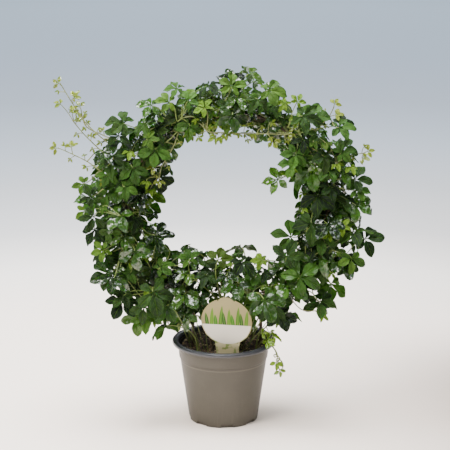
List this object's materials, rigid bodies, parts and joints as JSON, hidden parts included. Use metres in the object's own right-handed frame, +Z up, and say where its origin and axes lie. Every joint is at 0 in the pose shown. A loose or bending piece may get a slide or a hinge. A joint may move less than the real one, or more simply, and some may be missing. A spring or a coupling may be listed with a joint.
{
  "type": "potted miniature grape ivy",
  "caption": "Climbing plant with small five-part leaves, trained round a wire hoop that stands in a plain nursery pot with a blank label.",
  "frame": {"origin": "the middle of the pot's flat base, where it rests", "axes": "+Z up, -Y the front, from which the ring is seen open and the label faces the viewer, +X to the viewer's right"},
  "size_m": [0.3841, 0.1496, 0.4183],
  "materials": {
    "pot": "matt taupe plastic",
    "soil": "damp peat and wood fibre",
    "wire": "plastic-coated steel wire",
    "bark": "thin woody bark",
    "leaf": "glossy leaf",
    "young_leaf": "soft young leaf",
    "tag": "printed sheet plastic"
  },
  "bodies": {
    "root": {"hoop": "wire", "pot": "pot", "runner_01": "young_leaf", "runner_02": "young_leaf", "runner_03": "young_leaf", "runner_04": "young_leaf", "runner_05": "young_leaf", "runner_06": "young_leaf", "runner_07": "young_leaf", "runner_08": "young_leaf", "runner_09": "young_leaf", "runner_10": "young_leaf", "soil": "soil", "spray_crown_1": "leaf", "spray_crown_2": "leaf", "spray_crown_3": "leaf", "spray_crown_4": "leaf", "spray_crown_5": "leaf", "spray_crown_6": "leaf", "spray_crown_7": "leaf", "spray_crown_8": "leaf", "spray_hoop_01": "leaf", "spray_hoop_02": "leaf", "spray_hoop_03": "leaf", "spray_hoop_04": "leaf", "spray_hoop_05": "leaf", "spray_hoop_06": "leaf", "spray_hoop_07": "leaf", "spray_hoop_08": "leaf", "spray_hoop_09": "leaf", "spray_hoop_10": "leaf", "spray_hoop_11": "leaf", "spray_hoop_12": "leaf", "spray_hoop_13": "leaf", "spray_hoop_14": "leaf", "spray_hoop_15": "leaf", "spray_hoop_16": "leaf", "spray_hoop_17": "leaf", "spray_hoop_18": "leaf", "spray_hoop_19": "leaf", "spray_hoop_20": "leaf", "spray_hoop_21": "leaf", "spray_hoop_22": "leaf", "spray_hoop_23": "leaf", "spray_hoop_24": "leaf", "tag": "tag", "vine_left_back": "bark", "vine_left_front": "bark", "vine_right_back": "bark", "vine_right_front": "bark"}
  },
  "joints": []
}
